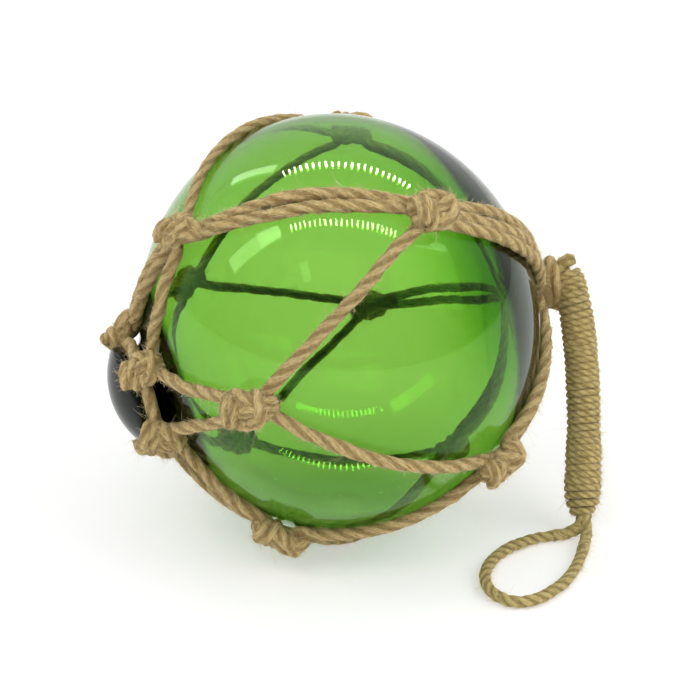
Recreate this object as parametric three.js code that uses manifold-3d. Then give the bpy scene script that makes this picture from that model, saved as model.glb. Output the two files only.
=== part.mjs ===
// A blown glass float in a knotted rope net, lying on its side, with a whipped handle and a hanging loop.
// Millimetres, +Z up. The origin is the middle of the small flat that the ball rests on.
import * as THREE from 'three';
import { mergeVertices } from 'three/addons/utils/BufferGeometryUtils.js';
import Module from 'manifold-3d';

const wasm = await Module();
wasm.setup();

// Glass float: a slightly flattened ball and the button that seals it
const BALL_WIDTH = 151; // across the axis
const BALL_LENGTH = 142; // along the axis, without the button
const AXIS_RISE = THREE.MathUtils.degToRad(12.5); // the axis climbs from the button towards the handle
const FLAT_DIAMETER = 20; // the resting flat
const BUTTON_REACH = 15; // from the ball's end to the button's tip
const BUTTON_WIDTH = 36;
const BUTTON_DOME_RADIUS = 30;
const BUTTON_EDGE = 2.4; // depth of the button's rounded edge
const BUTTON_DOME_INSET = 1; // where the dome stops inside the button's rim
const BUTTON_BACK_INSET = 0.6; // how much narrower the button's back is than its rim
const NECK_WIDTH = 30; // the waist that the ring cord lies in
const NECK_REACH = 74; // from the ball's centre to the waist's middle
const NECK_LENGTH = [-3, 1.5]; // where the waist starts and ends, from its middle
const NECK_SHOULDER = { reach: 4.2, widening: 2 }; // a step between the waist and the ball
const NECK_FLARE_WIDTH = 44; // where the neck runs into the ball

// Ropes
const ROPE = 4.8; // net cord
const PITCH = 5.2; // from cord to cord where they run side by side
const CUT_END_ROPE = 5.2; // the net cord's cut end has loosened
const HANDLE_DIAMETER = 12.1;
const HANDLE_GIRTH = [0.86, 1, 1, 1, 1, 1, 1, 1, 1, 1.02, 1.06, 1.04, 0.62]; // evenly spaced, from its top
const LOOP_ROPE = 4.2;
const GAP = 0.3; // kept between neighbouring pieces

// The net's knots as [angle from the axis, angle round it] in degrees; round it, 0 is up and 90 is back
const HANDLE_ROW = [[67.3, -42], [65, 50], [70.5, 115.5], [66, 173], [66.4, 239]];
const SEAL_ROW = [[128.6, -12], [121.5, 88], [122.5, 144], [125.5, 217], [128.2, 282]];
const RING_TURNS = [32, 116, 178, 248, 316]; // angles of the ring knots round the neck
const RING_KNOT_RADIUS = 22.2; // from the axis
const RING_KNOT_REACH = 73.2; // from the ball's centre, along the axis
const RING_KNOT_LEAN = 0.5; // how far they face the button's way
const RING_CORD_SLACK = 0.5;
const RING_CORD_RADIUS = NECK_WIDTH / 2 + GAP + ROPE / 2 + RING_CORD_SLACK;
const CROWN_TURN = [8.5, 185];
const CROWN_EXIT = [83, -6.5, 81]; // where the gathered cords go into the handle
const CROWN_EXIT_DIAMETER = 10;
const CORD_ASIDE = 2.1; // a cord's middle beside its knot's middle
const CORD_ENTRY = 4; // how far from its knot's middle a cord ends
const CORD_SINK = 1.5; // how far below its knot's middle
const EXTRA_LEG = 0; // the leg of the net that has one cord more

// Knots: length along the cords, width across them, height off the glass, and how deep their waist is
const ROW_KNOT = { length: 19, width: 14.5, height: 10.5, waist: 0.1 };
const RING_KNOT = { length: 13, width: 13, height: 10.5, waist: 0.08 };
const CROWN_KNOT = { length: 27, width: 27, height: 12.5, waist: 0 };

const HALF_WIDTH = BALL_WIDTH / 2;
const HALF_LENGTH = BALL_LENGTH / 2;
const FACET_SAG = 0.5; // how far a straight length of cord comes nearer to the glass than its ends
const ROPE_LIFT = GAP + ROPE / 2 + FACET_SAG; // a net cord's middle above the glass
const CORD_STEP = 18;
const CORD_LEAST_STEPS = 3;
const CROWN_NECK_STEPS = 2;
const RING_CORD_STEPS = 4;
const RING_CORD_MARGIN = 6; // degrees from a ring knot's middle to its cords' ends
const CORD_CORNERS = [150, 90, 30].map(THREE.MathUtils.degToRad); // of a cord's outer half
const ROPE_SIDES = 8;
const HANDLE_SIDES = 10;
const GLASS_SIDES = 32;
const BALL_STEPS = 14;
const DOME_STEPS = 4;
const CUT_END_STEPS = 3;
const LOOP_STEPS = 22;
const KNOT_STEPS = 8;
const KNOT_SIDES = 9;
const KNOT_CLEARANCE = 0.45;

// The ball's own directions: its axis, up square to it, and back
const AXIS = new THREE.Vector3(Math.cos(AXIS_RISE), 0, Math.sin(AXIS_RISE));
const UP = new THREE.Vector3(-Math.sin(AXIS_RISE), 0, Math.cos(AXIS_RISE));
const BACK = new THREE.Vector3(0, 1, 0);

// The tilted ball's centre stands this high over its lowest point, which the flat is centred on
const SUPPORT = Math.hypot(HALF_WIDTH * AXIS.x, HALF_LENGTH * AXIS.z);
const FLAT_DEPTH = HALF_WIDTH - Math.sqrt(HALF_WIDTH ** 2 - (FLAT_DIAMETER / 2) ** 2);
const CENTRE = new THREE.Vector3(
  -((HALF_WIDTH ** 2 - HALF_LENGTH ** 2) * AXIS.x * AXIS.z) / SUPPORT,
  0,
  SUPPORT - FLAT_DEPTH,
);

// The handle droops from the crown to the floor. The loop lies on the floor, from the handle's end and back.
const HANDLE_ROUTE = [[82.6, -6, 86], [86, -14, 68], [83.5, -27, 41], [76.2, -43, 6.6]];
const ROPE_END_ROUTE = [[79.5, -4, 84], [81.5, -3.5, 89], [86, -4, 90.5]];
const LOOP_ROUTE = [
  [74.6, -46.2, 5], [70, -47, 2.9], [64, -46.4, 2.2], [56, -46.6, 2.2], [46.4, -50, 2.2], [38.6, -55.5, 2.2],
  [33, -62.2, 2.2], [29.8, -70, 2.2], [29.3, -77.6, 2.2], [31.8, -84, 2.2], [36.5, -87.3, 2.2],
  [42.5, -87, 2.2], [49.8, -83.4, 2.2], [57, -77.8, 2.2], [64, -69.6, 2.2], [69.8, -60.6, 2.2],
  [73.8, -53.4, 2.6], [76, -48.6, 4.2],
];

const ROPE_TAN = new THREE.MeshStandardMaterial({ color: 0xbd9a6c, roughness: 0.95, metalness: 0 });
const WHIPPING_TAN = new THREE.MeshStandardMaterial({ color: 0xb59262, roughness: 0.95, metalness: 0 });
const GREEN_GLASS = new THREE.MeshStandardMaterial({
  color: 0x3f9a24, roughness: 0.05, metalness: 0, transparent: true, opacity: 0.6,
});

const part = new THREE.Group();

// Solids and geometry

function toSolid(geometry) {
  const bare = geometry.clone();
  bare.deleteAttribute('normal');
  bare.deleteAttribute('uv');
  const merged = mergeVertices(bare, 1e-4);
  const vertProperties = new Float32Array(merged.attributes.position.array);
  const triVerts = new Uint32Array(merged.index.array);
  return new wasm.Manifold(new wasm.Mesh({ numProp: 3, vertProperties, triVerts }));
}

function toGeometry(solid) {
  const mesh = solid.getMesh();
  const geometry = new THREE.BufferGeometry();
  geometry.setAttribute('position', new THREE.BufferAttribute(mesh.vertProperties, 3));
  geometry.setIndex(new THREE.BufferAttribute(mesh.triVerts, 1));
  geometry.computeVertexNormals();
  return geometry;
}

function union(solids) {
  return solids.reduce((all, solid) => all.add(solid));
}

function largestBody(solid) {
  return solid.decompose().reduce((best, body) => (body.volume() > best.volume() ? body : best));
}

const ABOVE_FLOOR = toSolid(new THREE.BoxGeometry(400, 400, 400).translate(0, 0, 200));

// Adds a piece, cut off flat at the floor and cut back from the neighbours that it meets
function addPiece(name, solid, material, neighbours = []) {
  const clear = neighbours.reduce((rest, neighbour) => rest.subtract(neighbour), solid);
  const mesh = new THREE.Mesh(toGeometry(largestBody(clear.intersect(ABOVE_FLOOR))), material);
  mesh.name = name;
  part.add(mesh);
}

// Directions and places on the ball

function direction(fromAxis, roundAxis) {
  const tilt = THREE.MathUtils.degToRad(fromAxis);
  const turn = THREE.MathUtils.degToRad(roundAxis);
  return AXIS.clone().multiplyScalar(Math.cos(tilt))
    .addScaledVector(UP, Math.sin(tilt) * Math.cos(turn))
    .addScaledVector(BACK, Math.sin(tilt) * Math.sin(turn));
}

// What takes a point, given from the ball's centre, to the ball's surface raised by lift
function reachFactor(fromCentre, lift) {
  const along = fromCentre.dot(AXIS);
  const across = Math.sqrt(Math.max(fromCentre.lengthSq() - along * along, 0));
  return 1 / Math.hypot(along / (HALF_LENGTH + lift), across / (HALF_WIDTH + lift));
}

function surfacePoint([fromAxis, roundAxis], lift) {
  const ray = direction(fromAxis, roundAxis);
  return ray.multiplyScalar(reachFactor(ray, lift)).add(CENTRE);
}

function outward(point) {
  const fromCentre = point.clone().sub(CENTRE);
  const stretch = (HALF_WIDTH / HALF_LENGTH) ** 2 - 1;
  return fromCentre.addScaledVector(AXIS, stretch * fromCentre.dot(AXIS)).normalize();
}

// A knot's place: its middle, outward normal, side (onwards round the axis) and run (towards the seal)
function place(middle, normal) {
  const side = normal.clone().cross(AXIS).normalize();
  const run = normal.clone().cross(side);
  return { middle, normal, side, run };
}

function netPlace(angles, height) {
  const middle = surfacePoint(angles, GAP + height / 2);
  return place(middle, outward(middle));
}

function ringPlace(turn) {
  const radial = direction(90, turn);
  const middle = CENTRE.clone()
    .addScaledVector(AXIS, -RING_KNOT_REACH)
    .addScaledVector(radial, RING_KNOT_RADIUS);
  return place(middle, radial.addScaledVector(AXIS, -RING_KNOT_LEAN).normalize());
}

// Ropes

function ropeCorners(diameter, sides) {
  return Array.from({ length: sides }, (_, k) => {
    const turn = (2 * Math.PI * k) / sides;
    return new THREE.Vector2(Math.cos(turn), Math.sin(turn)).multiplyScalar(diameter / 2);
  });
}

function ropeSolid(curve, diameter, sides, steps) {
  const section = new THREE.Shape(ropeCorners(diameter, sides));
  return toSolid(new THREE.ExtrudeGeometry(section, { steps, extrudePath: curve }));
}

function through(route) {
  return new THREE.CatmullRomCurve3(route.map((point) => new THREE.Vector3(...point)));
}

// The section of cords side by side, as [aside, outward] corners
function bundleCorners(count) {
  const outer = Array.from({ length: count }, (_, k) => (
    CORD_CORNERS.map((turn) => [
      (k - (count - 1) / 2) * PITCH + (Math.cos(turn) * ROPE) / 2,
      (Math.sin(turn) * ROPE) / 2,
    ])
  )).flat();
  const inner = outer.map(([aside, out]) => [aside, -out]).reverse();
  return [...outer, ...inner];
}

// Cords side by side along a route, with their row square to the outward direction at its start
function bundleSolid(route, steps, count, out) {
  const frames = route.computeFrenetFrames(steps, false);
  const aside = frames.tangents[0].clone().cross(out).normalize();
  const level = aside.clone().cross(frames.tangents[0]);
  const corners = bundleCorners(count).map(([across, up]) => {
    const corner = aside.clone().multiplyScalar(across).addScaledVector(level, up);
    return new THREE.Vector2(corner.dot(frames.normals[0]), corner.dot(frames.binormals[0]));
  });
  return toSolid(new THREE.ExtrudeGeometry(new THREE.Shape(corners), { steps, extrudePath: route }));
}

// Cords from one point to another, tight over the glass where it is in the way
function cordBundle(from, to, count) {
  const steps = Math.max(CORD_LEAST_STEPS, Math.round(from.distanceTo(to) / CORD_STEP));
  const points = Array.from({ length: steps + 1 }, (_, i) => {
    const point = from.clone().lerp(to, i / steps).sub(CENTRE);
    return point.multiplyScalar(Math.max(1, reachFactor(point, ROPE_LIFT))).add(CENTRE);
  });
  return bundleSolid(new THREE.CatmullRomCurve3(points), steps, count, outward(points[0]));
}

// A cord round the neck from one ring knot's turn to the next
function ringCord(from, to) {
  const sweep = (to - from + 360) % 360 - 2 * RING_CORD_MARGIN;
  const start = from + RING_CORD_MARGIN;
  const points = Array.from({ length: RING_CORD_STEPS + 1 }, (_, i) => (
    CENTRE.clone()
      .addScaledVector(AXIS, -NECK_REACH)
      .addScaledVector(direction(90, start + (sweep * i) / RING_CORD_STEPS), RING_CORD_RADIUS)
  ));
  return bundleSolid(new THREE.CatmullRomCurve3(points), RING_CORD_STEPS, 1, outward(points[0]));
}

// Where cords enter a knot: towards the seal (1) or the handle (-1), and aside
function entry(knot, towards, aside) {
  return knot.middle.clone()
    .addScaledVector(knot.run, towards * CORD_ENTRY)
    .addScaledVector(knot.side, aside)
    .addScaledVector(knot.normal, -CORD_SINK);
}

// Knots: full-ended lumps, drawn in at the waist between two turns of cord

function knotSolid(knot, size, grow = 0, waist = size.waist) {
  const profile = Array.from({ length: KNOT_STEPS + 1 }, (_, i) => {
    const along = -Math.cos((Math.PI * i) / KNOT_STEPS);
    const fullness = Math.sqrt(Math.max(1 - along ** 4, 0));
    const girth = (1 - waist * Math.cos(2 * Math.PI * along)) / (1 + waist);
    return new THREE.Vector2(fullness * girth, along);
  });
  const lump = new THREE.LatheGeometry(profile, KNOT_SIDES)
    .rotateX(Math.PI / 2)
    .scale(size.height / 2 + grow, size.width / 2 + grow, size.length / 2 + grow);
  const basis = new THREE.Matrix4().makeBasis(knot.normal, knot.side, knot.run).setPosition(knot.middle);
  return toSolid(lump.applyMatrix4(basis));
}

// The room that a knot needs, which cords stop at
function knotRoom(knot, size) {
  return knotSolid(knot, size, KNOT_CLEARANCE, 0);
}

// The glass float, turned about its axis: the button's dome, its edge, the neck and the ball

function glassProfile(grow) {
  const tip = -(HALF_LENGTH + BUTTON_REACH);
  const domeMiddle = tip + BUTTON_DOME_RADIUS;
  const rim = BUTTON_WIDTH / 2;
  const domeEnd = Math.asin((rim - BUTTON_DOME_INSET) / BUTTON_DOME_RADIUS);
  const flareAngle = Math.asin(NECK_FLARE_WIDTH / 2 / HALF_WIDTH);
  const dome = new THREE.EllipseCurve(
    0, domeMiddle, BUTTON_DOME_RADIUS + grow, BUTTON_DOME_RADIUS + grow,
    -Math.PI / 2, domeEnd - Math.PI / 2,
  ).getPoints(DOME_STEPS);
  const rimReach = domeMiddle - BUTTON_DOME_RADIUS * Math.cos(domeEnd);
  const waist = NECK_WIDTH / 2 + grow;
  const [waistStart, waistEnd] = NECK_LENGTH;
  const neck = [
    new THREE.Vector2(rim + grow, rimReach + BUTTON_EDGE / 2),
    new THREE.Vector2(rim - BUTTON_BACK_INSET + grow, rimReach + BUTTON_EDGE + grow),
    new THREE.Vector2(waist, -NECK_REACH + waistStart + grow),
    new THREE.Vector2(waist, -NECK_REACH + waistEnd),
    new THREE.Vector2(waist + NECK_SHOULDER.widening, -NECK_REACH + NECK_SHOULDER.reach),
  ];
  const ball = new THREE.EllipseCurve(
    0, 0, HALF_WIDTH + grow, HALF_LENGTH + grow,
    flareAngle - Math.PI / 2, Math.PI / 2,
  ).getPoints(BALL_STEPS);
  return [...dome, ...neck, ...ball];
}

function glassSolid(grow) {
  const points = glassProfile(grow);
  points[0].x = 0;
  points[points.length - 1].x = 0;
  const turned = new THREE.LatheGeometry(points, GLASS_SIDES)
    .applyQuaternion(new THREE.Quaternion().setFromUnitVectors(new THREE.Vector3(0, 1, 0), AXIS))
    .translate(CENTRE.x, CENTRE.y, CENTRE.z);
  return toSolid(turned);
}

// The whipped handle, swollen before its lower end and drawn in at both ends, with the cut rope end above it

function whippedSolid(grow) {
  const [start, ...rest] = HANDLE_ROUTE.map((point) => new THREE.Vector3(...point));
  const route = new THREE.CubicBezierCurve3(start, ...rest);
  const steps = HANDLE_GIRTH.length - 1;
  const middles = route.getSpacedPoints(steps);
  const section = new THREE.Shape(ropeCorners(HANDLE_DIAMETER, HANDLE_SIDES));
  const tube = new THREE.ExtrudeGeometry(section, { steps, extrudePath: route });
  const places = tube.attributes.position;
  const corner = new THREE.Vector3();
  for (let i = 0; i < places.count; i++) {
    corner.fromBufferAttribute(places, i);
    const nearest = middles.reduce((best, middle, step) => (
      corner.distanceTo(middle) < corner.distanceTo(middles[best]) ? step : best
    ), 0);
    const scale = HANDLE_GIRTH[nearest] + grow / (HANDLE_DIAMETER / 2);
    corner.sub(middles[nearest]).multiplyScalar(scale).add(middles[nearest]);
    places.setXYZ(i, corner.x, corner.y, corner.z);
  }
  return toSolid(tube);
}

function handleSolid(grow) {
  const cutEnd = ropeSolid(through(ROPE_END_ROUTE), CUT_END_ROPE + 2 * grow, ROPE_SIDES, CUT_END_STEPS);
  return union([whippedSolid(grow), cutEnd]);
}

// Everything in its place

const glassRoom = glassSolid(GAP);
const handleRow = HANDLE_ROW.map((angles) => netPlace(angles, ROW_KNOT.height));
const sealRow = SEAL_ROW.map((angles) => netPlace(angles, ROW_KNOT.height));
const ring = RING_TURNS.map(ringPlace);
const crown = netPlace(CROWN_TURN, CROWN_KNOT.height);
const handleRoom = handleSolid(GAP);

addPiece('glass_float', glassSolid(0), GREEN_GLASS);

function addKnots(name, knots, size) {
  knots.forEach((knot, i) => addPiece(`${name}_${i + 1}`, knotSolid(knot, size), ROPE_TAN, [glassRoom]));
  return knots.map((knot) => knotRoom(knot, size));
}

const handleRowRooms = addKnots('net_knot_handle_row', handleRow, ROW_KNOT);
const sealRowRooms = addKnots('net_knot_seal_row', sealRow, ROW_KNOT);
const ringRooms = addKnots('net_knot_ring', ring, RING_KNOT);

const crownNeck = ropeSolid(
  through([crown.middle.toArray(), CROWN_EXIT]), CROWN_EXIT_DIAMETER, ROPE_SIDES, CROWN_NECK_STEPS,
);
const crownSolid = union([knotSolid(crown, CROWN_KNOT), crownNeck]);
addPiece('net_crown_knot', crownSolid, ROPE_TAN, [glassRoom, handleRoom]);
const crownRoom = knotRoom(crown, CROWN_KNOT);

function addCords(name, from, to, count, rooms) {
  addPiece(name, cordBundle(from, to, count), ROPE_TAN, rooms);
}

const legs = handleRow.length;
for (let i = 0; i < legs; i++) {
  const before = (i + legs - 1) % legs;
  const count = i === EXTRA_LEG ? 2 : 1;
  const aside = count * CORD_ASIDE;
  const number = i + 1;
  addCords(`net_cords_crown_${number}`, crown.middle, entry(handleRow[i], -1, 0), count + 1,
    [crownRoom, handleRowRooms[i]]);
  addCords(`net_cord_onward_${number}`, entry(handleRow[i], 1, aside), entry(sealRow[i], -1, -aside), count,
    [handleRowRooms[i], sealRowRooms[i]]);
  addCords(`net_cord_back_${number}`, entry(handleRow[i], 1, -CORD_ASIDE),
    entry(sealRow[before], -1, CORD_ASIDE), 1, [handleRowRooms[i], sealRowRooms[before]]);
  addCords(`net_seal_cord_onward_${number}`, entry(sealRow[i], 1, aside), entry(ring[i], -1, -CORD_ASIDE), count,
    [sealRowRooms[i], ringRooms[i]]);
  addCords(`net_seal_cord_back_${number}`, entry(sealRow[i], 1, -CORD_ASIDE),
    entry(ring[before], -1, CORD_ASIDE), 1, [sealRowRooms[i], ringRooms[before]]);
  addPiece(`net_ring_cord_${number}`, ringCord(RING_TURNS[i], RING_TURNS[(i + 1) % legs]), ROPE_TAN,
    [ringRooms[i], ringRooms[(i + 1) % legs]]);
}

addPiece('whipped_handle', handleSolid(0), WHIPPING_TAN);
addPiece('hanging_loop', ropeSolid(through(LOOP_ROUTE), LOOP_ROPE, ROPE_SIDES, LOOP_STEPS), WHIPPING_TAN,
  [handleRoom]);

export default part;
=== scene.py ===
"""A blown glass float in a knotted jute net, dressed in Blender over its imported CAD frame. Metres, +Z up."""
import math

import bpy
import numpy as np
from mathutils import Matrix


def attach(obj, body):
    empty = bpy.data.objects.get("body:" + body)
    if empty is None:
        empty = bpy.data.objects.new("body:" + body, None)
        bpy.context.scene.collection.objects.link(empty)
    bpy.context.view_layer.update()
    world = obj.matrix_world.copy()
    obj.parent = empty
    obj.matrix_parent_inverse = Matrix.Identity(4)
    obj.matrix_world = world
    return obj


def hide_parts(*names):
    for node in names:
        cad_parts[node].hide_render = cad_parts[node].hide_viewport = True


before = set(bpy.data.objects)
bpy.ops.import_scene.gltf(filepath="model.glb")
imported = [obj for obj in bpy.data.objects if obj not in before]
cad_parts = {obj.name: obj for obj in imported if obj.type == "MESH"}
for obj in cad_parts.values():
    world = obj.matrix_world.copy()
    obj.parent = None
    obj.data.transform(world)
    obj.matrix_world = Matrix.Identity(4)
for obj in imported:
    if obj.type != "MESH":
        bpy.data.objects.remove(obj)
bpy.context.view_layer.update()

MM = 0.001
rng = np.random.default_rng(7)

# The glass: a slightly flattened ball and the button that seals it
HALF_WIDTH = 75.5 * MM
HALF_LENGTH = 71 * MM
AXIS_RISE = math.radians(12.5)
FLAT_DIAMETER = 20 * MM
BUTTON_REACH = 15 * MM
BUTTON_RIM = 18 * MM
BUTTON_DOME_RADIUS = 30 * MM
BUTTON_DOME_INSET = 1 * MM
BUTTON_EDGE = 2.4 * MM
BUTTON_BACK_INSET = 0.6 * MM
NECK_RADIUS = 15 * MM
NECK_REACH = 74 * MM
NECK_OUTLINE = [(-3, 0), (1.5, 0), (4.2, 2)]  # mm from the neck's reach towards the ball, and mm wider
NECK_FLARE_RADIUS = 22 * MM
DARK_GLASS_REACH = NECK_REACH + 3.2 * MM
WALL = 1.8 * MM
CROWN_WALL = 4.6 * MM  # how much thicker the wall is at the handle's end
CROWN_WALL_SPREAD = 36  # degrees from the axis
SEAL_WALL = 6 * MM  # and how much thicker at the button
SEAL_WALL_SPREAD = 16
SKIN_SIDES = 220
HOLLOW_SIDES = 180

# The ropes
ROPE = 4.7 * MM
ROPE_LAY = 25 * MM
PITCH = 4.1 * MM  # between cords side by side
CORD_ASIDE = 2.1 * MM  # from a knot's middle to where a cord goes into it
HANDLE_DIAMETER = 12.1 * MM
# How thick the handle is along its length, as shares of its diameter
HANDLE_GIRTH = [0.9, 0.98, 1, 1, 1, 1, 0.98, 1, 1, 1, 1.02, 1.08, 1.06, 1.12, 1.08, 0.66]
TWINE = 2.75 * MM
TWINE_PITCH = 2.45 * MM
TWINE_LAY = 9 * MM
LOOP_ROPE = 4.2 * MM
LOOP_LAY = 13 * MM
FLOOR_CLEARANCE = 0.1 * MM

# The net's knots as (angle from the axis, angle round it) in degrees; round it, 0 is up and 90 is back
HANDLE_ROW = [(67.3, -42), (65, 50), (70.5, 115.5), (66, 173), (66.4, 239)]
SEAL_ROW = [(128.6, -12), (121.5, 88), (122.5, 144), (125.5, 217), (128.2, 282)]
RING_TURNS = [32, 116, 178, 248, 316]
RING_KNOT_RADIUS = 22.2 * MM
RING_KNOT_REACH = 73.2 * MM
RING_KNOT_LEAN = 0.5
RING_CORD_RADIUS = 18 * MM
CROWN_TURN = (8.5, 185)
CROWN_EXIT = np.array([83, -6.5, 81]) * MM
ROW_KNOT_HEIGHT = 10.5 * MM
CROWN_KNOT_HEIGHT = 12.5 * MM
EXTRA_LEG = 0  # the leg that has one cord more

HANDLE_ROUTE = np.array([[82.6, -6, 86], [86, -14, 68], [83.5, -27, 41], [76.2, -43, 6.6]]) * MM
ROPE_END_ROUTE = np.array([[79.5, -4, 84], [81.5, -3.5, 89], [86, -4, 90.5]]) * MM
LOOP_ROUTE = np.array([
    [74.6, -46.2, 5], [70, -47, 2.9], [64, -46.4, 2.2], [56, -46.6, 2.2], [46.4, -50, 2.2],
    [38.6, -55.5, 2.2], [33, -62.2, 2.2], [29.8, -70, 2.2], [29.3, -77.6, 2.2], [31.8, -84, 2.2],
    [36.5, -87.3, 2.2], [42.5, -87, 2.2], [49.8, -83.4, 2.2], [57, -77.8, 2.2], [64, -69.6, 2.2],
    [69.8, -60.6, 2.2], [73.8, -53.4, 2.6], [76, -48.6, 4.2],
]) * MM

# The view
VIEW_TURN = math.radians(17.3)  # the camera stands this far round from straight in front, towards the button
VIEW_RISE = math.radians(25)
SENSOR_WIDTH = 36  # in the camera's own mm
VIEW_DISTANCE = 1.0
VIEW_WIDTH = 0.25  # what the picture's width spans at the ball's centre
AIM_ASIDE = 3.7 * MM
AIM_BELOW = 9.2 * MM


def unit(vector):
    return vector / np.linalg.norm(vector)


# Directions and places on the ball

AXIS = np.array([math.cos(AXIS_RISE), 0, math.sin(AXIS_RISE)])
UP = np.array([-math.sin(AXIS_RISE), 0, math.cos(AXIS_RISE)])
BACK = np.array([0.0, 1.0, 0.0])
SUPPORT = math.hypot(HALF_WIDTH * AXIS[0], HALF_LENGTH * AXIS[2])
FLAT_DEPTH = HALF_WIDTH - math.sqrt(HALF_WIDTH**2 - (FLAT_DIAMETER / 2) ** 2)
CENTRE = np.array([
    -(HALF_WIDTH**2 - HALF_LENGTH**2) * AXIS[0] * AXIS[2] / SUPPORT,
    0,
    SUPPORT - FLAT_DEPTH,
])


def direction(from_axis, round_axis):
    tilt, turn = math.radians(from_axis), math.radians(round_axis)
    across = UP * math.cos(turn) + BACK * math.sin(turn)
    return AXIS * math.cos(tilt) + across * math.sin(tilt)


def reach_factor(from_centre, lift):
    """What takes a point, given from the ball's centre, to its surface raised by lift."""
    along = from_centre @ AXIS
    across = math.sqrt(max(from_centre @ from_centre - along * along, 0))
    return 1 / math.hypot(along / (HALF_LENGTH + lift), across / (HALF_WIDTH + lift))


def surface_point(angles, lift):
    ray = direction(*angles)
    return CENTRE + ray * reach_factor(ray, lift)


def outward(point):
    from_centre = point - CENTRE
    stretch = (HALF_WIDTH / HALF_LENGTH) ** 2 - 1
    return unit(from_centre + AXIS * stretch * (from_centre @ AXIS))


ENTRY_REACH = 4 * MM  # where a cord goes into a knot, from its middle
ENTRY_DEPTH = 1.8 * MM


class Knot:
    """A knot's place: middle, outward normal, side (onwards round the axis) and run (towards the seal)."""

    def __init__(self, middle, normal):
        self.middle, self.normal = middle, normal
        self.side = unit(np.cross(normal, AXIS))
        self.run = np.cross(normal, self.side)

    def turn(self, degrees):
        """Turn the run towards the side."""
        angle = math.radians(degrees)
        run, side = self.run, self.side
        self.run = run * math.cos(angle) + side * math.sin(angle)
        self.side = side * math.cos(angle) - run * math.sin(angle)

    def entry(self, towards, aside):
        return self.middle + self.run * towards * ENTRY_REACH + self.side * aside - self.normal * ENTRY_DEPTH

    def points(self, local):
        """From [run, side, normal] to the object's frame."""
        return self.middle + local @ np.array([self.run, self.side, self.normal])


def net_knot(angles, height):
    middle = surface_point(angles, height / 2)
    return Knot(middle, outward(middle))


def ring_knot(turn):
    radial = direction(90, turn)
    middle = CENTRE - AXIS * RING_KNOT_REACH + radial * RING_KNOT_RADIUS
    return Knot(middle, unit(radial - AXIS * RING_KNOT_LEAN))


# Curves

def catmull_rom(points, per_span=12):
    """A smooth curve through points, as many points."""
    points = np.asarray(points, float)
    padded = np.vstack([2 * points[0] - points[1], points, 2 * points[-1] - points[-2]])
    t = np.linspace(0, 1, per_span, endpoint=False)[:, None]
    spans = []
    for a, b, c, d in zip(padded, padded[1:], padded[2:], padded[3:]):
        spans.append(0.5 * (2 * b + (c - a) * t + (2 * a - 5 * b + 4 * c - d) * t**2
                            + (3 * b - a - 3 * c + d) * t**3))
    return np.vstack([*spans, points[-1:]])


def bezier(controls, count):
    t = np.linspace(0, 1, count)[:, None]
    a, b, c, d = controls
    return a * (1 - t) ** 3 + 3 * b * t * (1 - t) ** 2 + 3 * c * t**2 * (1 - t) + d * t**3


def interpolated(t, places, values):
    """Rows of values at each t, from their rows at these places."""
    return np.column_stack([np.interp(t, places, values[:, k]) for k in range(3)])


def respaced(points, step):
    """The same curve with points about a step apart, and each point's distance along it."""
    lengths = np.r_[0, np.cumsum(np.linalg.norm(np.diff(points, axis=0), axis=1))]
    count = max(int(round(lengths[-1] / step)), 2)
    along = np.linspace(0, lengths[-1], count + 1)
    return interpolated(along, lengths, points), along


FIRST_SIDE_FROM = [0.31, 0.2, 0.93]  # a direction that no rope starts along


def frames_along(points):
    """Unit tangents and a side and a top direction at each point, without twist."""
    tangents = np.gradient(points, axis=0)
    tangents /= np.linalg.norm(tangents, axis=1, keepdims=True)
    sides = [unit(np.cross(tangents[0], FIRST_SIDE_FROM))]
    for tangent in tangents[1:]:
        side = sides[-1] - tangent * (sides[-1] @ tangent)
        sides.append(unit(side))
    sides = np.array(sides)
    return tangents, sides, np.cross(tangents, sides)


def around_line(points, side, top, turn, radius):
    """Rings of points round a line, at these turns and radii."""
    return points[:, None, :] + radius * (
        np.cos(turn)[None, :, None] * side[:, None, :] + np.sin(turn)[None, :, None] * top[:, None, :])


def wander(count, size, waves):
    """A smooth random offset along a rope, made of this many waves."""
    t = np.linspace(0, 1, count)
    turns = rng.uniform(0, 2 * np.pi, waves)
    return size * sum(np.sin(2 * np.pi * (k + 1) * t + turns[k]) / (k + 1) for k in range(waves))


# Meshes

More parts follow.
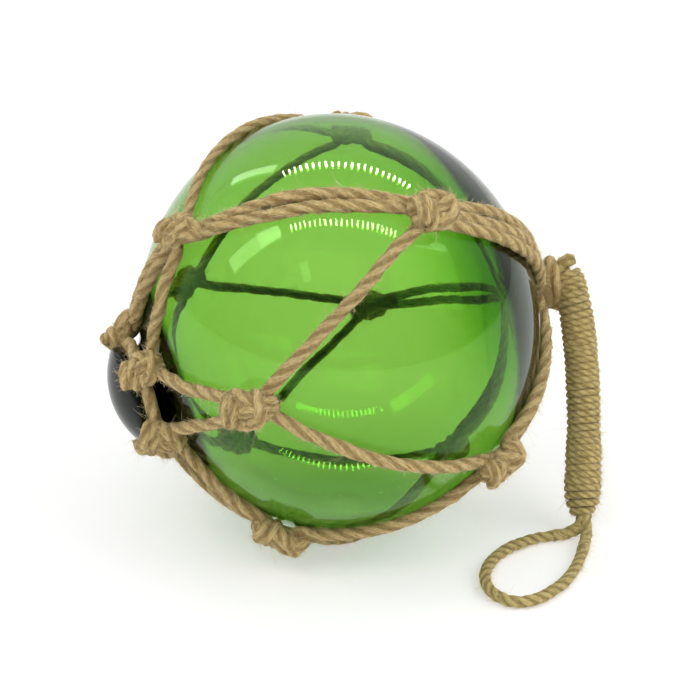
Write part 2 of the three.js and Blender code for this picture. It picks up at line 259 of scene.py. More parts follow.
class Build:
    """Gathers tubes into one mesh, with a map along the fibres and a depth: 0 in a groove, 1 out of it."""

    def __init__(self):
        self.points, self.faces, self.maps, self.depths = [], [], [], []
        self.count = 0

    def add(self, rings, maps, depths):
        """One tube, closed at both ends. The maps are the distances along it and around it."""
        steps, sides = rings.shape[:2]
        self.points.append(rings.reshape(-1, 3))
        self.depths.append(depths.reshape(-1))
        index = self.count + np.arange(steps * sides).reshape(steps, sides)
        ahead = np.roll(index, -1, axis=1)
        quads = np.stack([index[:-1], ahead[:-1], ahead[1:], index[1:]], axis=-1).reshape(-1, 4)
        self.faces.extend(quads.tolist())
        along, around = maps
        width = around[:, 1:] - around[:, :-1]
        around_ahead = np.column_stack([around[:, 1:], around[:, -1:] + width[:, -1:]])
        corners = np.stack([
            np.stack([along[:-1], around[:-1]], -1), np.stack([along[:-1], around_ahead[:-1]], -1),
            np.stack([along[1:], around_ahead[1:]], -1), np.stack([along[1:], around[1:]], -1),
        ], axis=2)
        self.maps.append(corners.reshape(-1, 2))
        self.count += steps * sides
        self.faces.append(index[0][::-1].tolist())
        self.faces.append(index[-1].tolist())
        self.maps.append(np.stack([along[0], around[0]], -1)[::-1])
        self.maps.append(np.stack([along[-1], around[-1]], -1))

    def object(self, name, material):
        mesh = bpy.data.meshes.new(name)
        mesh.from_pydata(np.vstack(self.points).tolist(), [], self.faces)
        layer = mesh.uv_layers.new(name="along_fibres")
        layer.data.foreach_set("uv", np.vstack(self.maps).astype(np.float32).ravel())
        # The depth sets how much painted shade the jute puts in the grooves
        depth = mesh.attributes.new("depth", "FLOAT", "POINT")
        depth.data.foreach_set("value", np.concatenate(self.depths).astype(np.float32))
        return finished(mesh, name, material)


def finished(mesh, name, material):
    mesh.shade_smooth()
    mesh.materials.append(material)
    piece = bpy.data.objects.new(name, mesh)
    bpy.context.scene.collection.objects.link(piece)
    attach(piece, "root")
    return piece


STRANDS = 3
GROOVE = 0.7  # how far from the middle a groove's bottom is, where a strand's back is at 1
TWIST_WANDER = (0.35, 6)  # how much, and in how many waves, as wander takes them
GIRTH_WANDER = (0.03, 9)
RELIEF_WANDER = (0.3, 14)
MEAN_RELIEF = 0.8
ROUGHNESS = 0.04


def strand_radius(phase):
    """A laid rope's outline: 1 on a strand's back, less in the grooves."""
    sector = 2 * np.pi / STRANDS
    off = (phase + sector / 2) % sector - sector / 2
    centre = 1 / (1 + math.sin(math.pi / STRANDS))
    own = 1 - centre
    inside = np.maximum(own**2 - (centre * np.sin(off)) ** 2, 0)
    return np.maximum(centre * np.cos(off) + np.sqrt(inside), GROOVE)


def lay_rope(build, points, diameter, lay, sides=15, step=1.1 * MM, relief=0.5, taper=None):
    """One laid rope along points, with its middle line and tangents. Below the floor it is pressed flat."""
    points, along = respaced(points, step)
    tangents, side, top = frames_along(points)
    turn = 2 * np.pi * np.arange(sides) / sides
    twist = 2 * np.pi * along / lay + rng.uniform(0, 6) + wander(len(points), *TWIST_WANDER)
    phase = turn[None, :] - twist[:, None]
    outline = strand_radius(phase)
    girth = 1 + wander(len(points), *GIRTH_WANDER)[:, None]
    relief = relief * (MEAN_RELIEF + wander(len(points), *RELIEF_WANDER))[:, None]
    if taper is not None:
        girth = girth * np.interp(along / along[-1], np.linspace(0, 1, len(taper)), taper)[:, None]
    rough = 1 + ROUGHNESS * rng.standard_normal(outline.shape)
    radius = diameter / 2 * (1 - relief * (1 - outline)) * girth * rough
    rings = around_line(points, side, top, turn, radius[..., None])
    rings[..., 2] = np.maximum(rings[..., 2], FLOOR_CLEARANCE)
    along_map = np.repeat(along[:, None], sides, axis=1)
    build.add(rings, (along_map, phase * diameter / 2), (outline - GROOVE) / (1 - GROOVE))
    return points, tangents


# Materials

def new_material(name):
    material = bpy.data.materials.new(name)
    material.use_nodes = True
    nodes = material.node_tree.nodes
    return material, nodes, material.node_tree.links, nodes["Principled BSDF"]


def set_inputs(node, values):
    for name, value in values.items():
        node.inputs[name].default_value = value


def add_node(nodes, kind, values=None):
    node = nodes.new(kind)
    set_inputs(node, values or {})
    return node


def glass_material():
    """Clear green glass that absorbs by its thickness, with faint waves in its skin."""
    material, nodes, links, shader = new_material("green_glass")
    set_inputs(shader, {
        "Base Color": (0.86, 1.0, 0.8, 1), "Roughness": 0.0, "IOR": 1.5,
        "Specular Tint": (0.5, 0.85, 0.36, 1), "Transmission Weight": 1.0,
    })
    absorb = add_node(nodes, "ShaderNodeVolumeAbsorption", {"Color": (0.47, 0.72, 0.01, 1), "Density": 650})
    waves = add_node(nodes, "ShaderNodeTexNoise", {"Scale": 28, "Detail": 2})
    bump = add_node(nodes, "ShaderNodeBump", {"Strength": 0.03, "Distance": 0.002})
    where = add_node(nodes, "ShaderNodeTexCoord")
    links.new(absorb.outputs["Volume"], nodes["Material Output"].inputs["Volume"])
    links.new(where.outputs["Object"], waves.inputs["Vector"])
    links.new(waves.outputs["Fac"], bump.inputs["Height"])
    links.new(bump.outputs["Normal"], shader.inputs["Normal"])
    return material


STREAK_STRETCH = 0.17  # a streak's scale along the fibres, where it is 1 across them
# Painted shade: the colour that the grooves are multiplied by
GROOVE_SHADE_COLOUR = (0.42, 0.33, 0.2, 1)
JUTE_STOPS = (0.36, 0.47, 0.6)  # where the noise gives the dark, the middle and the light colour


def colour_stops(ramp, places, colours):
    """Three colours on a ramp, from the lowest place to the highest."""
    stops = ramp.color_ramp.elements
    stops.new(places[1])
    for stop, place, colour in zip(stops, places, colours):
        stop.position, stop.color = place, (*colour, 1)


def jute_material(name, light, middle, dark, fibre_scale):
    """Jute: streaks along the fibres, paler and darker stretches, and painted shade that darkens the grooves.
    """
    material, nodes, links, shader = new_material(name)
    set_inputs(shader, {
        "Roughness": 0.9, "Specular IOR Level": 0.2,
        "Sheen Weight": 0.2, "Sheen Roughness": 0.5, "Sheen Tint": (1.0, 0.88, 0.62, 1),
    })
    where = add_node(nodes, "ShaderNodeTexCoord")
    scale = add_node(nodes, "ShaderNodeMapping", {"Scale": (fibre_scale * STREAK_STRETCH, fibre_scale, 1)})
    streaks = add_node(nodes, "ShaderNodeTexNoise", {"Scale": 1.0, "Detail": 5, "Roughness": 0.7})
    patches = add_node(nodes, "ShaderNodeTexNoise", {"Scale": 600, "Detail": 5})
    blend = add_node(nodes, "ShaderNodeMix", {"Factor": 0.3})
    ramp = add_node(nodes, "ShaderNodeValToRGB")
    colour_stops(ramp, JUTE_STOPS, (dark, middle, light))
    # Painted shade in the grooves: the deeper a point lies, the more its colour is multiplied by the groove
    # shade colour
    depth = add_node(nodes, "ShaderNodeAttribute")
    depth.attribute_name = "depth"
    shade = add_node(nodes, "ShaderNodeMapRange", {
        "From Min": 0.0, "From Max": 0.7, "To Min": 0.72, "To Max": 0.0,
    })
    groove = add_node(nodes, "ShaderNodeMix")
    groove.data_type = "RGBA"
    groove.blend_type = "MULTIPLY"
    set_inputs(groove, {"B": GROOVE_SHADE_COLOUR})
    bump = add_node(nodes, "ShaderNodeBump", {"Strength": 1.0, "Distance": 0.0018})
    links.new(where.outputs["UV"], scale.inputs["Vector"])
    links.new(scale.outputs["Vector"], streaks.inputs["Vector"])
    links.new(where.outputs["Object"], patches.inputs["Vector"])
    links.new(streaks.outputs["Fac"], blend.inputs["A"])
    links.new(patches.outputs["Fac"], blend.inputs["B"])
    links.new(blend.outputs["Result"], ramp.inputs["Fac"])
    links.new(ramp.outputs["Color"], groove.inputs["A"])
    links.new(depth.outputs["Fac"], shade.inputs["Value"])
    links.new(shade.outputs["Result"], groove.inputs["Factor"])
    links.new(groove.outputs["Result"], shader.inputs["Base Color"])
    links.new(streaks.outputs["Fac"], bump.inputs["Height"])
    links.new(bump.outputs["Normal"], shader.inputs["Normal"])
    return material


def plain_material(name, colour, roughness, more=None):
    material, _, _, shader = new_material(name)
    set_inputs(shader, {"Base Color": (*colour, 1), "Roughness": roughness, **(more or {})})
    return material


glass = glass_material()
net_jute = jute_material("net_jute", (1.0, 0.8, 0.41), (0.8, 0.575, 0.235), (0.42, 0.27, 0.085), 1750)
twine_jute = jute_material("twine_jute", (1.0, 0.85, 0.38), (0.8, 0.63, 0.235), (0.38, 0.27, 0.075), 1800)
fibre_jute = plain_material("loose_fibres", (0.85, 0.72, 0.44), 0.8)
seal_glass = plain_material("dark_seal_glass", (0.006, 0.01, 0.006), 0.07, {"Specular IOR Level": 0.22})


# The camera

view_right = np.array([math.cos(VIEW_TURN), -math.sin(VIEW_TURN), 0])
view_back = np.array([
    -math.cos(VIEW_RISE) * math.sin(VIEW_TURN),
    -math.cos(VIEW_RISE) * math.cos(VIEW_TURN),
    math.sin(VIEW_RISE),
])
view_up = np.cross(view_back, view_right)


def in_view(right, up, back):
    """A direction from the ball's centre, given as the camera sees it."""
    return view_right * right + view_up * up + view_back * back


def placed(right, up, back, stand):
    """The matrix of a camera or lamp at stand, which looks away from back."""
    matrix = np.eye(4)
    matrix[:3] = np.column_stack([right, up, back, stand])
    return Matrix(matrix.tolist())


def add_camera():
    data = bpy.data.cameras.new("camera")
    data.sensor_width = SENSOR_WIDTH
    data.lens = SENSOR_WIDTH * VIEW_DISTANCE / VIEW_WIDTH
    data.clip_start = 0.05
    camera = bpy.data.objects.new("camera", data)
    bpy.context.scene.collection.objects.link(camera)
    stand = CENTRE + in_view(AIM_ASIDE, -AIM_BELOW, VIEW_DISTANCE)
    camera.matrix_world = placed(view_right, view_up, view_back, stand)
    bpy.context.scene.camera = camera


add_camera()


# The hanging loop, a free cord

def hanging_loop():
    build = Build()
    centres, _ = lay_rope(build, catmull_rom(LOOP_ROUTE), LOOP_ROPE, LOOP_LAY, step=0.8 * MM)
    loop = build.object("loop_rope", twine_jute)
    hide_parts("hanging_loop")
    return centres


loop_centres = hanging_loop()


# The glass float

def cut_corners(points, times):
    """The same line, rounded by cutting its corners again and again."""
    for _ in range(times):
        near = points[:-1] * 0.75 + points[1:] * 0.25
        far = points[:-1] * 0.25 + points[1:] * 0.75
        points = np.vstack([points[:1], np.stack([near, far], 1).reshape(-1, 2)[1:-1], points[-1:]])
    return points


def outer_profile():
    """[distance along the axis, radius] from the button's tip to the handle's end."""
    tip = -(HALF_LENGTH + BUTTON_REACH)
    dome_middle = tip + BUTTON_DOME_RADIUS
    dome_end = math.asin((BUTTON_RIM - BUTTON_DOME_INSET) / BUTTON_DOME_RADIUS)
    turn = np.linspace(0, dome_end, 14)
    dome = BUTTON_DOME_RADIUS * np.column_stack([-np.cos(turn), np.sin(turn)]) + [dome_middle, 0]
    rim = dome[-1, 0]
    neck = np.array([
        [rim + BUTTON_EDGE / 2, BUTTON_RIM],
        [rim + BUTTON_EDGE, BUTTON_RIM - BUTTON_BACK_INSET],
        *[[-NECK_REACH + along * MM, NECK_RADIUS + wider * MM] for along, wider in NECK_OUTLINE],
    ])
    flare = math.asin(NECK_FLARE_RADIUS / HALF_WIDTH)
    turn = np.linspace(flare, math.pi, 120)
    ball = np.column_stack([-HALF_LENGTH * np.cos(turn), HALF_WIDTH * np.sin(turn)])
    shoulder = cut_corners(np.vstack([dome[-3:], neck, ball[:3]]), 3)
    return np.vstack([dome[:-3], shoulder, ball[3:]])


def inner_profile():
    """The hollow, whose wall is thicker at the handle's end and thickest at the button."""
    turn = np.linspace(0, math.pi, 90)
    along, across = -HALF_LENGTH * np.cos(turn), HALF_WIDTH * np.sin(turn)
    reach = np.hypot(along, across)
    from_seal = np.degrees(turn)
    wall = (WALL + SEAL_WALL * np.exp(-(from_seal / SEAL_WALL_SPREAD) ** 2)
            + CROWN_WALL * np.exp(-((180 - from_seal) / CROWN_WALL_SPREAD) ** 3))
    return np.column_stack([along, across]) * ((reach - wall) / reach)[:, None]


def turned(profile, sides):
    """A closed turned skin: its points and faces, facing away from the axis."""
    turn = 2 * np.pi * np.arange(sides) / sides
    radial = np.cos(turn)[:, None] * UP + np.sin(turn)[:, None] * BACK
    body = profile[1:-1]
    rings = CENTRE + body[:, :1, None] * AXIS + body[:, 1:, None] * radial[None]
    points = np.vstack([rings.reshape(-1, 3), CENTRE + profile[0, 0] * AXIS, CENTRE + profile[-1, 0] * AXIS])
    index = np.arange(len(body) * sides).reshape(len(body), sides)
    ahead = np.roll(index, -1, axis=1)
    faces = np.stack([index[:-1], index[1:], ahead[1:], ahead[:-1]], -1).reshape(-1, 4).tolist()
    low, high = len(points) - 2, len(points) - 1
    faces += [[low, a, b] for a, b in zip(index[0], ahead[0])]
    faces += [[high, b, a] for a, b in zip(index[-1], ahead[-1])]
    return points, [list(map(int, face)) for face in faces]


def glass_ball():
    skin, skin_faces = turned(outer_profile(), SKIN_SIDES)
    skin[:, 2] = np.maximum(skin[:, 2], 0)
    hollow, hollow_faces = turned(inner_profile(), HOLLOW_SIDES)
    shift = len(skin)
    faces = skin_faces + [[index + shift for index in reversed(face)] for face in hollow_faces]
    mesh = bpy.data.meshes.new("glass_ball")
    mesh.from_pydata(np.vstack([skin, hollow]).tolist(), [], faces)
    piece = finished(mesh, "glass_ball", glass)
    mesh.materials.append(seal_glass)
    for face in mesh.polygons:
        if (np.array(face.center) - CENTRE) @ -AXIS > DARK_GLASS_REACH:
            face.material_index = 1
    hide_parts("glass_float")


glass_ball()


# The rope net

net = Build()
fibre_seats = []  # [points, tangents, radius] of every rope that loose fibres stand on

REAR_THINNING = 0.24  # the ropes behind are pulled this much thinner
CORD_POINTS = 40
CORD_BOW = 0.28  # how much of its offset a cord gives up at its ends
ASIDE_WANDER = (0.35 * MM, 3)
LIFT_WANDER = (0.12 * MM, 3)
LIFT_SHARE = 0.43  # a cord's middle line stands this share of its diameter off the glass


def net_rope(points, diameter=ROPE, **options):
    centres, tangents = lay_rope(net, points, diameter, ROPE_LAY, **options)
    fibre_seats.append((centres, tangents, diameter / 2))


def tightness(place):
    """How thick a rope or knot at this place is, where 1 is in front."""
    behind = unit(place - CENTRE) @ BACK
    return 1 - REAR_THINNING * np.clip(behind * 2, 0, 1)


def cord_run(start, end, aside, lift):
    """A cord from start to end, tight over the glass, set aside from the straight run in its middle."""
    t = np.linspace(0, 1, CORD_POINTS)
    offsets = aside * (1 - CORD_BOW + CORD_BOW * np.sin(np.pi * t)) + wander(CORD_POINTS, *ASIDE_WANDER)
    lifts = lift + wander(CORD_POINTS, *LIFT_WANDER)
    points = []
    for share, offset, raised in zip(t, offsets, lifts):
        point = start + (end - start) * share
        across = unit(np.cross(end - start, outward(point)))
        point = point + across * offset - CENTRE
        points.append(CENTRE + point * max(1, reach_factor(point, raised)))
    return np.array(points)


def net_cord(start, end, aside):
    diameter = ROPE * tightness((start + end) / 2)
    net_rope(cord_run(start, end, aside, diameter * LIFT_SHARE), diameter)


def row(count):
    """The offsets of cords side by side."""
    return (np.arange(count) - (count - 1) / 2) * PITCH


# The knots. Their measures are in mm, and long and broad stretch them

KNOT_CORE = {"length": 15, "width": 11.5, "height": 8.4}
WRAP = {"width": 14.6, "height": 11, "start": 0.8, "turns": 2.1, "pitch": 3.2}
WRAP_SHARE = 0.9  # of the net rope's diameter
WRAP_START_TURN = 2  # radians
LEAN_RANGE = 0.2
# Each cord over a knot's top, as how far aside it is, how high, and how much it crosses over
TOP_CORDS = [(4.2, 1.9, -1.6), (0.6, 3.1, 1.4), (-3.6, 2.2, 1.2)]
CROSS_RANGE = 0.8
SEAL_CORD_ASIDE = 3.4
LUMP_END = 0.97  # its end rings stand this share of the way out, so that they stay open
# A lump gets a set depth, so that it carries half of the painted groove shade
LUMP_RINGS, LUMP_SIDES, LUMP_SHADE_DEPTH = 12, 18, 0.35
FOLD_TAPER = [0.5, 1, 1, 1, 1, 1, 1, 1, 0.5]
FOLD_GIRTH = {"least": 0.5, "by_breadth": 0.47}  # of the net rope's diameter
KNOT_STEP = 0.9 * MM


def lump(knot, length, width, height):
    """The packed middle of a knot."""
    t = np.linspace(-LUMP_END, LUMP_END, LUMP_RINGS)
    turn = 2 * np.pi * np.arange(LUMP_SIDES) / LUMP_SIDES
    swell = np.sqrt(1 - t**4)[:, None] * (0.93 + 0.07 * rng.random((LUMP_RINGS, LUMP_SIDES)))
    local = np.stack([
        np.repeat(t[:, None], LUMP_SIDES, 1) * length / 2,
        swell * np.cos(turn) * width / 2,
        swell * np.sin(turn) * height / 2,
    ], -1)
    rings = knot.points(local.reshape(-1, 3)).reshape(local.shape)
    net.add(rings, (local[..., 0], swell * turn * width / 2), np.full(swell.shape, LUMP_SHADE_DEPTH))


def fold(knot, local, long=1, broad=1):
    """A cord through places given as [run, side, normal] in the knot, with its ends tucked in."""
    bent = catmull_rom(np.array(local) * MM * [long, broad, 1], 10)
    diameter = ROPE * (FOLD_GIRTH["least"] + FOLD_GIRTH["by_breadth"] * broad)
    net_rope(knot.points(bent), diameter, relief=0.35, step=KNOT_STEP, taper=FOLD_TAPER)


def wrap(knot, long, broad, lean):
    """Turns of cord round the run, side by side."""
    t = np.linspace(0, 2 * np.pi * WRAP["turns"], int(36 * WRAP["turns"]))
    side = np.cos(t + WRAP_START_TURN) * (WRAP["width"] * MM * broad - ROPE) / 2
    normal = np.sin(t + WRAP_START_TURN) * (WRAP["height"] * MM - ROPE) / 2
    run = WRAP["start"] * MM * long + WRAP["pitch"] * MM * t / (2 * np.pi) + lean * side
    turns = np.column_stack([run, side, normal])
    net_rope(knot.points(turns), ROPE * WRAP_SHARE, relief=0.3, step=KNOT_STEP)


def tie_knot(knot, mirror, long, broad):
    """An overhand knot: turns of cord across its seal end, over the cords that come in at the other end."""
    m = mirror  # 1, or -1 for a knot tied the other way round
    lump(knot, KNOT_CORE["length"] * long * MM, KNOT_CORE["width"] * broad * MM, KNOT_CORE["height"] * MM)
    wrap(knot, long, broad, rng.uniform(-LEAN_RANGE, LEAN_RANGE))
    for aside, rise, cross in TOP_CORDS:
        aside, cross = aside * m, (cross + rng.uniform(-CROSS_RANGE, CROSS_RANGE)) * m
        fold(knot, [
            (4, aside - cross, -0.4), (0, aside - cross * 0.6, rise * 0.9),
            (-3.2, aside + cross * 0.3, rise + 0.5), (-6, aside * 0.9 + cross, rise - 0.8),
            (-8.2, aside * 0.6 + cross * 0.5, -3.4),
        ], long, broad)
    fold(knot, [
        (2, -4.6 * m, -2), (-1.5, -5 * m, 1.2), (-4.4, -2.6 * m, 3.4), (-5.6, 1.2 * m, 3.3),
        (-4.6, 4.6 * m, 1.4), (-2, 5.4 * m, -2),
    ], long, broad)
    for aside in (SEAL_CORD_ASIDE * m, -SEAL_CORD_ASIDE * m):
        fold(knot, [(2.4, aside, 0), (6, aside * 0.75, 1), (8.6, aside * 0.5, -2.6)], long, broad)


CROWN_CORE = {"width": 17 * MM, "height": 9.5 * MM}
CROWN_TURNS = (0.6, 0.6 + 2.1 * np.pi)
CROWN_TURN_RADIUS = 8.2 * MM
CROWN_END_ASIDE = 2.2 * MM


def tie_crown(knot):
    """A turn of cord round a packed middle, one fold over it, and two ends that go up into the handle."""
    lump(knot, CROWN_CORE["width"], CROWN_CORE["width"], CROWN_CORE["height"])
    turn = np.linspace(*CROWN_TURNS, 70)
    over = np.column_stack([
        np.cos(turn) * CROWN_TURN_RADIUS, np.sin(turn) * CROWN_TURN_RADIUS,
        2.6 * MM + 0.7 * MM * np.sin(2 * turn) + 0.3 * MM * turn,
    ])
    net_rope(knot.points(over), relief=0.35)
    fold(knot, [(-6, -4, 1), (-3, -2, 4.6), (1, 0, 5.4), (4, 2.5, 4.2), (7, 5, 0.5)])
    for aside in (-CROWN_END_ASIDE, CROWN_END_ASIDE):
        start = knot.middle + knot.side * aside * 1.5
        across = BACK * aside
        net_rope(catmull_rom([
            start, start + knot.normal * 6 * MM, CROWN_EXIT + across, HANDLE_ROUTE[0] + across * 0.8,
            bezier(HANDLE_ROUTE, 12)[2] + across * 0.6,
        ]), relief=0.4)


handle_row = [net_knot(angles, ROW_KNOT_HEIGHT) for angles in HANDLE_ROW]
seal_row = [net_knot(angles, ROW_KNOT_HEIGHT) for angles in SEAL_ROW]
ring = [ring_knot(turn) for turn in RING_TURNS]
crown = net_knot(CROWN_TURN, CROWN_KNOT_HEIGHT)
crown_hold = crown.middle - crown.normal * 2 * MM

SEAL_ROW_LENGTH = 1.18
EXTRA_KNOT_TURN = 50  # degrees by which the knot of the doubled cords lies aslant
EXTRA_KNOT_BREADTH = 0.8
EXTRA_KNOT_ENTRY = (1, 5.5 * MM)  # the next leg's cord goes in at its seal end
RING_KNOT_SIZE = (0.82, 0.85)


def tie_leg(leg):
    """One leg of the net: its cords and knots, and the cords back to the leg before."""
    outer, inner, end = handle_row[leg], seal_row[leg], ring[leg]
    before = leg - 1
    extra = leg == EXTRA_LEG
    count = 2 if extra else 1
    aside = count * CORD_ASIDE
    for offset in row(count + 1):
        net_cord(crown_hold, outer.entry(-1, 0), offset)
    for offset in row(count):
        net_cord(outer.entry(1, aside), inner.entry(-1, -aside), offset)
        net_cord(inner.entry(1, aside), end.entry(-1, -CORD_ASIDE), offset)
    gather = EXTRA_KNOT_ENTRY if before == EXTRA_LEG else (-1, CORD_ASIDE)
    net_cord(outer.entry(1, -CORD_ASIDE), seal_row[before].entry(*gather), 0)
    net_cord(inner.entry(1, -CORD_ASIDE), ring[before].entry(-1, CORD_ASIDE), 0)
    mirror = 1 if leg % 2 == 0 else -1
    tight = tightness(outer.middle)
    tie_knot(outer, mirror, tight, tight)
    if extra:
        inner.turn(EXTRA_KNOT_TURN)
    tight = tightness(inner.middle)
    tie_knot(inner, mirror, SEAL_ROW_LENGTH * tight, EXTRA_KNOT_BREADTH if extra else tight)
    tie_knot(end, mirror, *RING_KNOT_SIZE)


NECK_CORD_TURN = 372  # degrees, so its ends overlap
NECK_CORD_SLANT = 1.4 * MM


def neck_cord():
    """The cord round the neck that holds the ring knots."""
    turn = np.radians(np.linspace(0, NECK_CORD_TURN, 90))[:, None]
    reach = NECK_REACH + NECK_CORD_SLANT * np.sin(turn / 2)
    net_rope(CENTRE - AXIS * reach + (UP * np.cos(turn) + BACK * np.sin(turn)) * RING_CORD_RADIUS)


for leg in range(len(ring)):
    tie_leg(leg)
tie_crown(crown)
neck_cord()

rope_net = net.object("rope_net", net_jute)
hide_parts(*[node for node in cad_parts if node.startswith("net_")])


# The whipped handle

TWINE_SINK = 0.42  # the twine's middle line lies this share of its diameter under the handle's surface
CORE_SINK = 0.62
CORE_SIDES, CORE_STRIDE = 14, 8
TURN_POINTS = 26
TURN_WANDER = (0.2, 9)
SEAT_WANDER = (0.12 * MM, 40)
LOOP_LEG_SHARE = 1.06  # the loop's two legs are a little thicker where they leave the handle
LOOP_LEG_PLACES = (0.82, 0.93)  # along the handle, where both legs start and where they reach its mouth
ROPE_END_SHARE = 1.05
ROPE_END_TAPER = [1, 1, 1, 1.05, 1.1, 0.75]


def handle_girth(t):
    return np.interp(t, np.linspace(0, 1, len(HANDLE_GIRTH)), HANDLE_GIRTH) * HANDLE_DIAMETER / 2


def serve_handle(build, spine, share, length, side, top):
    """The twine, turn by turn round the handle."""
    turns = length / TWINE_PITCH
    t = np.linspace(0, 1, int(turns * TURN_POINTS))
    turn = 2 * np.pi * (t * turns + wander(len(t), *TURN_WANDER))
    radius = handle_girth(t) - TWINE * TWINE_SINK + wander(len(t), *SEAT_WANDER)
    at, side_at, top_at = (interpolated(t, share, values) for values in (spine, side, top))
    helix = at + radius[:, None] * (np.cos(turn)[:, None] * side_at + np.sin(turn)[:, None] * top_at)
    centres, ways = lay_rope(build, helix, TWINE, TWINE_LAY, sides=10, step=0.9 * MM, relief=0.12)
    fibre_seats.append((centres, ways, TWINE / 2))


def whipped_handle():
    build = Build()
    spine, along = respaced(bezier(HANDLE_ROUTE, 200), 0.4 * MM)
    _, side, top = frames_along(spine)
    share = along / along[-1]
    serve_handle(build, spine, share, along[-1], side, top)
    picked = slice(None, None, CORE_STRIDE)
    corners = 2 * np.pi * np.arange(CORE_SIDES) / CORE_SIDES
    core = handle_girth(share[picked])[:, None, None] - TWINE * CORE_SINK
    rings = around_line(spine[picked], side[picked], top[picked], corners, core)
    # A depth of 0 paints the full groove shade on the core
    flat = np.zeros(rings.shape[:2])
    build.add(rings, (flat + along[picked, None], flat + corners[None] * HANDLE_DIAMETER / 2), flat)
    foot, mouth = (spine[int(len(spine) * place)] for place in LOOP_LEG_PLACES)
    for leg in (LOOP_ROUTE[:3], LOOP_ROUTE[:-4:-1]):
        lay_rope(build, catmull_rom([foot, mouth, *leg]), LOOP_ROPE * LOOP_LEG_SHARE, LOOP_LAY)
    cut_end = catmull_rom(ROPE_END_ROUTE)
    centres, ways = lay_rope(build, cut_end, ROPE * ROPE_END_SHARE, ROPE_LAY, taper=ROPE_END_TAPER)
    fibre_seats.append((centres, ways, ROPE / 2))
    handle = build.object("handle_whipping", twine_jute)
    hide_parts("whipped_handle")


whipped_handle()
fibre_seats.append((loop_centres, np.gradient(loop_centres, axis=0), LOOP_ROPE / 2))


# Loose fibres

FIBRE_SIDES = 3
FIBRE_TIP = 0.35  # of its thickness
FIBRE_SEAT = 0.86  # of the rope's radius
FIBRE_LEAN = 2.6  # at most, along the rope, where 1 is straight out
FIBRE_CLEARANCE = 0.2 * MM


def fibre_line(seat, way, radius, lengths, stray, t):
    """The middle line of a hair that stands on a rope, clear of the glass and the floor."""
    way = unit(way)
    off = rng.standard_normal(3)
    off = unit(off - way * (off @ way))
    away = outward(seat)
    if off @ away < -0.1:  # it would go into the glass
        off = off - 1.6 * away * (off @ away)
        off = unit(off - way * (off @ way))
    root = seat + off * radius * FIBRE_SEAT
    lean = unit(off + way * rng.uniform(-FIBRE_LEAN, FIBRE_LEAN))
    bend = unit(rng.standard_normal(3)) * stray
    line = root + rng.uniform(*lengths) * (lean * t + bend * t**2)
    for k, point in enumerate(line):
        from_centre = point - CENTRE
        line[k] = CENTRE + from_centre * max(1, reach_factor(from_centre, FIBRE_CLEARANCE))
    line[:, 2] = np.maximum(line[:, 2], 2 * FLOOR_CLEARANCE)
    return line


def loose_fibres(name, count, lengths, thickness, steps, stray):
    """Thin hairs that stand off the ropes, outwards from the glass."""
    seats = np.vstack([centres for centres, _, _ in fibre_seats])
    ways = np.vstack([tangents for _, tangents, _ in fibre_seats])
    radii = np.concatenate([np.full(len(centres), radius) for centres, _, radius in fibre_seats])
    build = Build()
    corners = 2 * np.pi * np.arange(FIBRE_SIDES) / FIBRE_SIDES
    t = np.linspace(0, 1, steps + 1)[:, None]
    girth = thickness / 2 * np.linspace(1, FIBRE_TIP, steps + 1)[:, None, None]
    flat = np.zeros((steps + 1, FIBRE_SIDES))
    for _ in range(count):
        pick = rng.integers(len(seats))
        line = fibre_line(seats[pick], ways[pick], radii[pick], lengths, stray, t)
        _, side, top = frames_along(line)
        build.add(around_line(line, side, top, corners, girth), (flat, flat), flat + 1)
    build.object(name, fibre_jute)


loose_fibres("short_fibres", 13500, (0.9 * MM, 2.6 * MM), thickness=0.14 * MM, steps=2, stray=0.8)
loose_fibres("fine_fibres", 13500, (0.7 * MM, 1.9 * MM), thickness=0.12 * MM, steps=2, stray=1)
loose_fibres("long_fibres", 1000, (2.2 * MM, 6 * MM), thickness=0.12 * MM, steps=6, stray=1.2)


# The room: a pale floor, soft light and rows of small lamps

FLOOR_HALF = 4
FLOOR_DEPTH = 0.2 * MM
LAMP_COUNT = 22
LAMP_DISTANCE = 1.5
LAMP_HEIGHT = 0.11
LAMP_SHARE = 0.32  # of the room that a lamp has in its row
BRIGHT_SKY = [0.1, 0.6, 0.8]  # the direction that the world is brightest in


def add_sheets(name, quads, material):
    """A flat mesh for the stage, from the corners of its quads."""
    mesh = bpy.data.meshes.new(name)
    points = [tuple(corner) for quad in quads for corner in quad]
    mesh.from_pydata(points, [], [tuple(range(k, k + 4)) for k in range(0, len(points), 4)])
    mesh.materials.append(material)
    sheet = bpy.data.objects.new(name, mesh)
    bpy.context.scene.collection.objects.link(sheet)
    return sheet


def corners_of(middle, across, along):
    """A quad's corners, from its middle and its two half sides."""
    return [middle + across * x + along * y for x, y in ((-1, -1), (1, -1), (1, 1), (-1, 1))]


def add_floor():
    white = plain_material("floor_white", (0.66, 0.66, 0.66), 0.8, {
        "Emission Color": (1, 1, 1, 1), "Emission Strength": 0.42,
    })
    middle = np.array([0, 0, -FLOOR_DEPTH])
    across, along = np.array([FLOOR_HALF, 0, 0]), np.array([0, FLOOR_HALF, 0])
    add_sheets("floor", [corners_of(middle, across, along)], white)


def add_panel(name, towards, distance, size, strength, spin=0.0, shows=True):
    """A soft lamp that faces the ball, from a direction given as the camera sees it."""
    data = bpy.data.lights.new(name, "AREA")
    data.shape = "RECTANGLE"
    data.size, data.size_y = size
    data.energy = strength * size[0] * size[1] * math.pi
    lamp = bpy.data.objects.new(name, data)
    bpy.context.scene.collection.objects.link(lamp)
    back = unit(in_view(*towards))
    right = unit(np.cross(view_up, back))
    top = np.cross(back, right)
    right, top = right * math.cos(spin) + top * math.sin(spin), top * math.cos(spin) - right * math.sin(spin)
    lamp.matrix_world = placed(right, top, back, CENTRE + back * distance)
    lamp.visible_glossy = shows


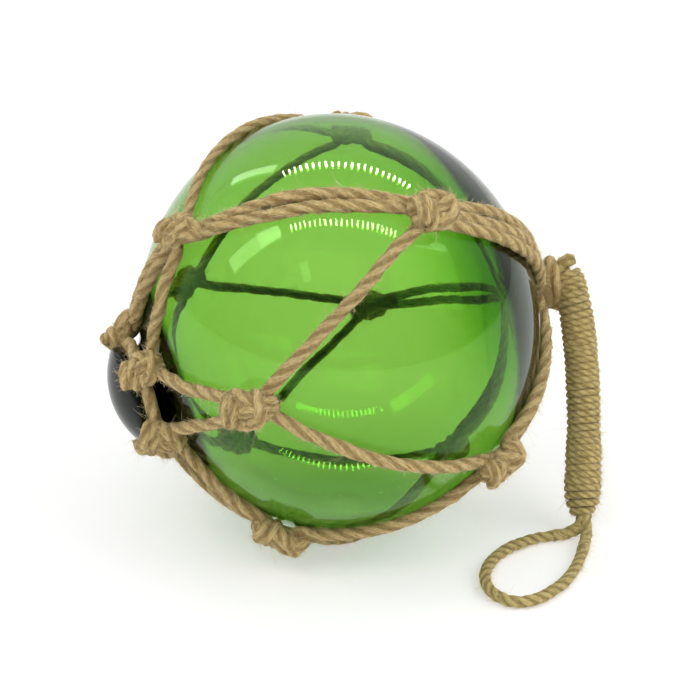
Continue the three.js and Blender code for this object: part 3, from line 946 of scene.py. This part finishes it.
def add_lamp_row(name, rise, aside, span, strength):
    """A straight row of small bright lamps across the view, rise degrees above the camera's line."""
    angle = math.radians(rise)
    middle = CENTRE + in_view(aside, math.sin(angle) * LAMP_DISTANCE, math.cos(angle) * LAMP_DISTANCE)
    across = view_right * span / LAMP_COUNT * LAMP_SHARE / 2
    down = in_view(0, -math.cos(angle), math.sin(angle)) * LAMP_HEIGHT / 2
    quads = [corners_of(middle + view_right * place, across, down)
             for place in np.linspace(-span / 2, span / 2, LAMP_COUNT)]
    glow = plain_material(name, (0.8, 0.8, 0.8), 0.5, {
        "Emission Color": (1, 0.99, 0.96, 1), "Emission Strength": strength,
    })
    lamps = add_sheets(name, quads, glow)
    lamps.visible_diffuse = False


def add_world():
    """Soft light from above and behind, and less of it from in front."""
    world = bpy.data.worlds.new("world")
    world.use_nodes = True
    nodes, links = world.node_tree.nodes, world.node_tree.links
    where = add_node(nodes, "ShaderNodeTexCoord")
    facing = add_node(nodes, "ShaderNodeVectorMath")
    facing.operation = "DOT_PRODUCT"
    facing.inputs[1].default_value = tuple(unit(np.array(BRIGHT_SKY)))
    fade = add_node(nodes, "ShaderNodeMapRange", {
        "From Min": -0.25, "From Max": 0.75, "To Min": 0.25, "To Max": 0.85,
    })
    fade.interpolation_type = "SMOOTHSTEP"
    background = nodes["Background"]
    set_inputs(background, {"Color": (1, 1, 1, 1)})
    links.new(where.outputs["Generated"], facing.inputs[0])
    links.new(facing.outputs["Value"], fade.inputs["Value"])
    links.new(fade.outputs["Result"], background.inputs["Strength"])
    bpy.context.scene.world = world


add_floor()
add_world()
add_lamp_row("upper_lamps", rise=93, aside=0.12, span=1.42, strength=55)
add_lamp_row("lower_lamps", rise=54, aside=0.06, span=1.5, strength=46)
add_panel("window", (-0.72, 0.56, 0.43), 1.5, (0.8, 0.22), 4.2, spin=0.85)
add_panel("bright_pane", (-0.6, 0.66, 0.46), 1.45, (0.3, 0.22), 3.2, spin=0.85)
add_panel("high_window", (-0.49, 0.8, -0.25), 1.5, (0.5, 0.13), 4, spin=1.35)
add_panel("front_window", (-0.338, 0.424, 0.839), 1.5, (0.12, 0.28), 1.8, spin=0.3)
add_panel("side_window", (0.726, 0.595, 0.344), 1.5, (0.5, 0.1), 2.4, spin=-0.3)
add_panel("front_fill", (-0.25, 0.5, 1.0), 2.2, (1.6, 0.9), 1.65, shows=False)
add_panel("right_fill", (0.85, 0.42, 0.6), 2.0, (1.6, 1.0), 2.9, shows=False)
add_panel("back_light", (0.1, 0.1, -1.0), 2.0, (1.8, 0.9), 2.2, shows=False)
bpy.context.scene.view_settings.view_transform = "Standard"
bpy.context.scene.view_settings.look = "None"
